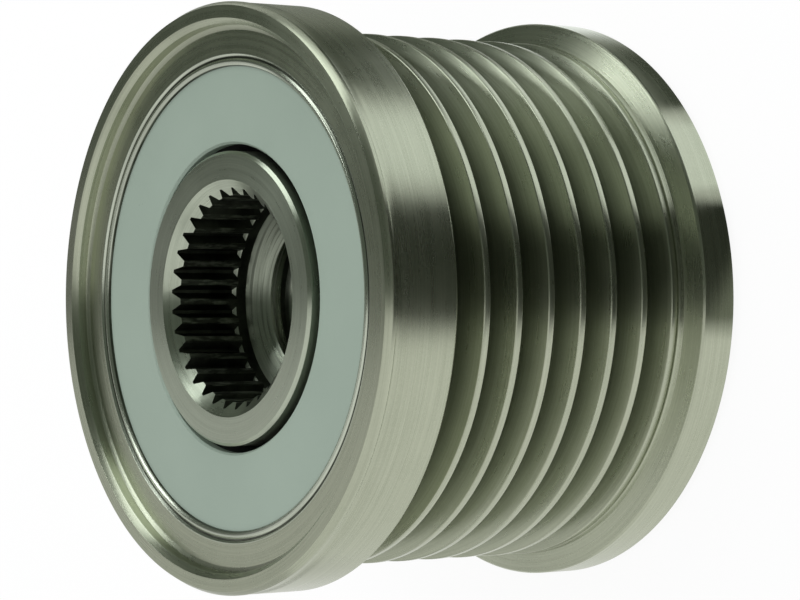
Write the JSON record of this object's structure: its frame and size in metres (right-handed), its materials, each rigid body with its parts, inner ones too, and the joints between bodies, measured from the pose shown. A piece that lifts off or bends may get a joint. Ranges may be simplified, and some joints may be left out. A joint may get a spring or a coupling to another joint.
{
  "type": "overrunning alternator pulley",
  "caption": "Grooved belt pulley with a raised rim at each end, a flat grey front shield and a serrated, threaded steel hub that overruns inside it on a roller clutch.",
  "frame": {"origin": "on the axis, in the plane of the hub's rear seat, which the pulley stands on", "axes": "+Z along the axis from the rear seat towards the serrated front; +X is up in the picture and -Y faces its viewer"},
  "size_m": [0.0536, 0.0536, 0.0398],
  "materials": {
    "ring_steel": "turned",
    "hub_steel": "turned",
    "shield_steel": "matte",
    "hardened_steel": "ground",
    "roller_steel": "polished",
    "washer_steel": "satin",
    "spring_steel": "satin",
    "cage_plastic": "glass-filled",
    "seal_rubber": "matte"
  },
  "bodies": {
    "hub": {"hub": "hub_steel", "rear_inner_race": "hardened_steel", "clutch_cam_ring": "hardened_steel", "clutch_cage": "cage_plastic", "clutch_spring_1": "spring_steel", "clutch_spring_2": "spring_steel", "clutch_spring_3": "spring_steel", "clutch_spring_4": "spring_steel", "clutch_spring_5": "spring_steel", "clutch_spring_6": "spring_steel", "clutch_spring_7": "spring_steel", "clutch_spring_8": "spring_steel"},
    "pulley": {"pulley_ring": "ring_steel", "clutch_sleeve": "hardened_steel", "front_shield": "shield_steel", "rear_shield": "shield_steel", "front_lip_seal": "seal_rubber", "rear_lip_seal": "seal_rubber", "front_thrust_washer": "washer_steel", "rear_thrust_washer": "washer_steel"},
    "front_bearing": {"front_bearing_cage": "cage_plastic"},
    "rear_bearing": {"rear_bearing_cage": "cage_plastic"},
    "front_bearing_roller_01": {"front_bearing_roller_01": "roller_steel"},
    "front_bearing_roller_02": {"front_bearing_roller_02": "roller_steel"},
    "front_bearing_roller_03": {"front_bearing_roller_03": "roller_steel"},
    "front_bearing_roller_04": {"front_bearing_roller_04": "roller_steel"},
    "front_bearing_roller_05": {"front_bearing_roller_05": "roller_steel"},
    "front_bearing_roller_06": {"front_bearing_roller_06": "roller_steel"},
    "front_bearing_roller_07": {"front_bearing_roller_07": "roller_steel"},
    "front_bearing_roller_08": {"front_bearing_roller_08": "roller_steel"},
    "front_bearing_roller_09": {"front_bearing_roller_09": "roller_steel"},
    "front_bearing_roller_10": {"front_bearing_roller_10": "roller_steel"},
    "front_bearing_roller_11": {"front_bearing_roller_11": "roller_steel"},
    "front_bearing_roller_12": {"front_bearing_roller_12": "roller_steel"},
    "rear_bearing_roller_01": {"rear_bearing_roller_01": "roller_steel"},
    "rear_bearing_roller_02": {"rear_bearing_roller_02": "roller_steel"},
    "rear_bearing_roller_03": {"rear_bearing_roller_03": "roller_steel"},
    "rear_bearing_roller_04": {"rear_bearing_roller_04": "roller_steel"},
    "rear_bearing_roller_05": {"rear_bearing_roller_05": "roller_steel"},
    "rear_bearing_roller_06": {"rear_bearing_roller_06": "roller_steel"},
    "rear_bearing_roller_07": {"rear_bearing_roller_07": "roller_steel"},
    "rear_bearing_roller_08": {"rear_bearing_roller_08": "roller_steel"},
    "rear_bearing_roller_09": {"rear_bearing_roller_09": "roller_steel"},
    "rear_bearing_roller_10": {"rear_bearing_roller_10": "roller_steel"},
    "rear_bearing_roller_11": {"rear_bearing_roller_11": "roller_steel"},
    "rear_bearing_roller_12": {"rear_bearing_roller_12": "roller_steel"},
    "clutch_roller_1": {"clutch_roller_1": "roller_steel"},
    "clutch_roller_2": {"clutch_roller_2": "roller_steel"},
    "clutch_roller_3": {"clutch_roller_3": "roller_steel"},
    "clutch_roller_4": {"clutch_roller_4": "roller_steel"},
    "clutch_roller_5": {"clutch_roller_5": "roller_steel"},
    "clutch_roller_6": {"clutch_roller_6": "roller_steel"},
    "clutch_roller_7": {"clutch_roller_7": "roller_steel"},
    "clutch_roller_8": {"clutch_roller_8": "roller_steel"}
  },
  "joints": [
    {"name": "pulley_spin", "type": "hinge", "parent": "hub", "child": "pulley", "pos_m": [0, 0, 0.02], "axis": [0, 0, 1], "continuous": true},
    {"name": "front_bearing_spin", "type": "hinge", "parent": "hub", "child": "front_bearing", "pos_m": [0, 0, 0.02], "axis": [0, 0, 1], "continuous": true},
    {"name": "front_bearing_roller_01_spin", "type": "hinge", "parent": "front_bearing", "child": "front_bearing_roller_01", "pos_m": [0.01505, 0, 0], "axis": [0, 0, 1], "continuous": true},
    {"name": "front_bearing_roller_02_spin", "type": "hinge", "parent": "front_bearing", "child": "front_bearing_roller_02", "pos_m": [0.01303, 0.00752, 0], "axis": [0, 0, 1], "continuous": true},
    {"name": "front_bearing_roller_03_spin", "type": "hinge", "parent": "front_bearing", "child": "front_bearing_roller_03", "pos_m": [0.00752, 0.01303, 0], "axis": [0, 0, 1], "continuous": true},
    {"name": "front_bearing_roller_04_spin", "type": "hinge", "parent": "front_bearing", "child": "front_bearing_roller_04", "pos_m": [0, 0.01505, 0], "axis": [0, 0, 1], "continuous": true},
    {"name": "front_bearing_roller_05_spin", "type": "hinge", "parent": "front_bearing", "child": "front_bearing_roller_05", "pos_m": [-0.00752, 0.01303, 0], "axis": [0, 0, 1], "continuous": true},
    {"name": "front_bearing_roller_06_spin", "type": "hinge", "parent": "front_bearing", "child": "front_bearing_roller_06", "pos_m": [-0.01303, 0.00752, 0], "axis": [0, 0, 1], "continuous": true},
    {"name": "front_bearing_roller_07_spin", "type": "hinge", "parent": "front_bearing", "child": "front_bearing_roller_07", "pos_m": [-0.01505, 0, 0], "axis": [0, 0, 1], "continuous": true},
    {"name": "front_bearing_roller_08_spin", "type": "hinge", "parent": "front_bearing", "child": "front_bearing_roller_08", "pos_m": [-0.01303, -0.00752, 0], "axis": [0, 0, 1], "continuous": true},
    {"name": "front_bearing_roller_09_spin", "type": "hinge", "parent": "front_bearing", "child": "front_bearing_roller_09", "pos_m": [-0.00752, -0.01303, 0], "axis": [0, 0, 1], "continuous": true},
    {"name": "front_bearing_roller_10_spin", "type": "hinge", "parent": "front_bearing", "child": "front_bearing_roller_10", "pos_m": [0, -0.01505, 0], "axis": [0, 0, 1], "continuous": true},
    {"name": "front_bearing_roller_11_spin", "type": "hinge", "parent": "front_bearing", "child": "front_bearing_roller_11", "pos_m": [0.00752, -0.01303, 0], "axis": [0, 0, 1], "continuous": true},
    {"name": "front_bearing_roller_12_spin", "type": "hinge", "parent": "front_bearing", "child": "front_bearing_roller_12", "pos_m": [0.01303, -0.00752, 0], "axis": [0, 0, 1], "continuous": true},
    {"name": "rear_bearing_spin", "type": "hinge", "parent": "hub", "child": "rear_bearing", "pos_m": [0, 0, 0.02], "axis": [0, 0, 1], "continuous": true},
    {"name": "rear_bearing_roller_01_spin", "type": "hinge", "parent": "rear_bearing", "child": "rear_bearing_roller_01", "pos_m": [0.01505, 0, 0], "axis": [0, 0, 1], "continuous": true},
    {"name": "rear_bearing_roller_02_spin", "type": "hinge", "parent": "rear_bearing", "child": "rear_bearing_roller_02", "pos_m": [0.01303, 0.00752, 0], "axis": [0, 0, 1], "continuous": true},
    {"name": "rear_bearing_roller_03_spin", "type": "hinge", "parent": "rear_bearing", "child": "rear_bearing_roller_03", "pos_m": [0.00752, 0.01303, 0], "axis": [0, 0, 1], "continuous": true},
    {"name": "rear_bearing_roller_04_spin", "type": "hinge", "parent": "rear_bearing", "child": "rear_bearing_roller_04", "pos_m": [0, 0.01505, 0], "axis": [0, 0, 1], "continuous": true},
    {"name": "rear_bearing_roller_05_spin", "type": "hinge", "parent": "rear_bearing", "child": "rear_bearing_roller_05", "pos_m": [-0.00752, 0.01303, 0], "axis": [0, 0, 1], "continuous": true},
    {"name": "rear_bearing_roller_06_spin", "type": "hinge", "parent": "rear_bearing", "child": "rear_bearing_roller_06", "pos_m": [-0.01303, 0.00752, 0], "axis": [0, 0, 1], "continuous": true},
    {"name": "rear_bearing_roller_07_spin", "type": "hinge", "parent": "rear_bearing", "child": "rear_bearing_roller_07", "pos_m": [-0.01505, 0, 0], "axis": [0, 0, 1], "continuous": true},
    {"name": "rear_bearing_roller_08_spin", "type": "hinge", "parent": "rear_bearing", "child": "rear_bearing_roller_08", "pos_m": [-0.01303, -0.00752, 0], "axis": [0, 0, 1], "continuous": true},
    {"name": "rear_bearing_roller_09_spin", "type": "hinge", "parent": "rear_bearing", "child": "rear_bearing_roller_09", "pos_m": [-0.00752, -0.01303, 0], "axis": [0, 0, 1], "continuous": true},
    {"name": "rear_bearing_roller_10_spin", "type": "hinge", "parent": "rear_bearing", "child": "rear_bearing_roller_10", "pos_m": [0, -0.01505, 0], "axis": [0, 0, 1], "continuous": true},
    {"name": "rear_bearing_roller_11_spin", "type": "hinge", "parent": "rear_bearing", "child": "rear_bearing_roller_11", "pos_m": [0.00752, -0.01303, 0], "axis": [0, 0, 1], "continuous": true},
    {"name": "rear_bearing_roller_12_spin", "type": "hinge", "parent": "rear_bearing", "child": "rear_bearing_roller_12", "pos_m": [0.01303, -0.00752, 0], "axis": [0, 0, 1], "continuous": true},
    {"name": "clutch_roller_1_slide", "type": "slide", "parent": "hub", "child": "clutch_roller_1", "axis": [0, 1, 0], "range_m": [0, 0.0006]},
    {"name": "clutch_roller_2_slide", "type": "slide", "parent": "hub", "child": "clutch_roller_2", "axis": [-0.7071, 0.7071, 0], "range_m": [0, 0.0006]},
    {"name": "clutch_roller_3_slide", "type": "slide", "parent": "hub", "child": "clutch_roller_3", "axis": [-1, 0, 0], "range_m": [0, 0.0006]},
    {"name": "clutch_roller_4_slide", "type": "slide", "parent": "hub", "child": "clutch_roller_4", "axis": [-0.7071, -0.7071, 0], "range_m": [0, 0.0006]},
    {"name": "clutch_roller_5_slide", "type": "slide", "parent": "hub", "child": "clutch_roller_5", "axis": [0, -1, 0], "range_m": [0, 0.0006]},
    {"name": "clutch_roller_6_slide", "type": "slide", "parent": "hub", "child": "clutch_roller_6", "axis": [0.7071, -0.7071, 0], "range_m": [0, 0.0006]},
    {"name": "clutch_roller_7_slide", "type": "slide", "parent": "hub", "child": "clutch_roller_7", "axis": [1, 0, 0], "range_m": [0, 0.0006]},
    {"name": "clutch_roller_8_slide", "type": "slide", "parent": "hub", "child": "clutch_roller_8", "axis": [0.7071, 0.7071, 0], "range_m": [0, 0.0006]}
  ],
  "couplings": [
    {"joint": "front_bearing_spin", "follows": "pulley_spin", "ratio": 0.56811},
    {"joint": "front_bearing_roller_01_spin", "follows": "pulley_spin", "ratio": 3.6927},
    {"joint": "front_bearing_roller_02_spin", "follows": "pulley_spin", "ratio": 3.6927},
    {"joint": "front_bearing_roller_03_spin", "follows": "pulley_spin", "ratio": 3.6927},
    {"joint": "front_bearing_roller_04_spin", "follows": "pulley_spin", "ratio": 3.6927},
    {"joint": "front_bearing_roller_05_spin", "follows": "pulley_spin", "ratio": 3.6927},
    {"joint": "front_bearing_roller_06_spin", "follows": "pulley_spin", "ratio": 3.6927},
    {"joint": "front_bearing_roller_07_spin", "follows": "pulley_spin", "ratio": 3.6927},
    {"joint": "front_bearing_roller_08_spin", "follows": "pulley_spin", "ratio": 3.6927},
    {"joint": "front_bearing_roller_09_spin", "follows": "pulley_spin", "ratio": 3.6927},
    {"joint": "front_bearing_roller_10_spin", "follows": "pulley_spin", "ratio": 3.6927},
    {"joint": "front_bearing_roller_11_spin", "follows": "pulley_spin", "ratio": 3.6927},
    {"joint": "front_bearing_roller_12_spin", "follows": "pulley_spin", "ratio": 3.6927},
    {"joint": "rear_bearing_spin", "follows": "pulley_spin", "ratio": 0.56811},
    {"joint": "rear_bearing_roller_01_spin", "follows": "pulley_spin", "ratio": 3.6927},
    {"joint": "rear_bearing_roller_02_spin", "follows": "pulley_spin", "ratio": 3.6927},
    {"joint": "rear_bearing_roller_03_spin", "follows": "pulley_spin", "ratio": 3.6927},
    {"joint": "rear_bearing_roller_04_spin", "follows": "pulley_spin", "ratio": 3.6927},
    {"joint": "rear_bearing_roller_05_spin", "follows": "pulley_spin", "ratio": 3.6927},
    {"joint": "rear_bearing_roller_06_spin", "follows": "pulley_spin", "ratio": 3.6927},
    {"joint": "rear_bearing_roller_07_spin", "follows": "pulley_spin", "ratio": 3.6927},
    {"joint": "rear_bearing_roller_08_spin", "follows": "pulley_spin", "ratio": 3.6927},
    {"joint": "rear_bearing_roller_09_spin", "follows": "pulley_spin", "ratio": 3.6927},
    {"joint": "rear_bearing_roller_10_spin", "follows": "pulley_spin", "ratio": 3.6927},
    {"joint": "rear_bearing_roller_11_spin", "follows": "pulley_spin", "ratio": 3.6927},
    {"joint": "rear_bearing_roller_12_spin", "follows": "pulley_spin", "ratio": 3.6927},
    {"joint": "clutch_roller_2_slide", "follows": "clutch_roller_1_slide", "ratio": 1},
    {"joint": "clutch_roller_3_slide", "follows": "clutch_roller_1_slide", "ratio": 1},
    {"joint": "clutch_roller_4_slide", "follows": "clutch_roller_1_slide", "ratio": 1},
    {"joint": "clutch_roller_5_slide", "follows": "clutch_roller_1_slide", "ratio": 1},
    {"joint": "clutch_roller_6_slide", "follows": "clutch_roller_1_slide", "ratio": 1},
    {"joint": "clutch_roller_7_slide", "follows": "clutch_roller_1_slide", "ratio": 1},
    {"joint": "clutch_roller_8_slide", "follows": "clutch_roller_1_slide", "ratio": 1}
  ]
}
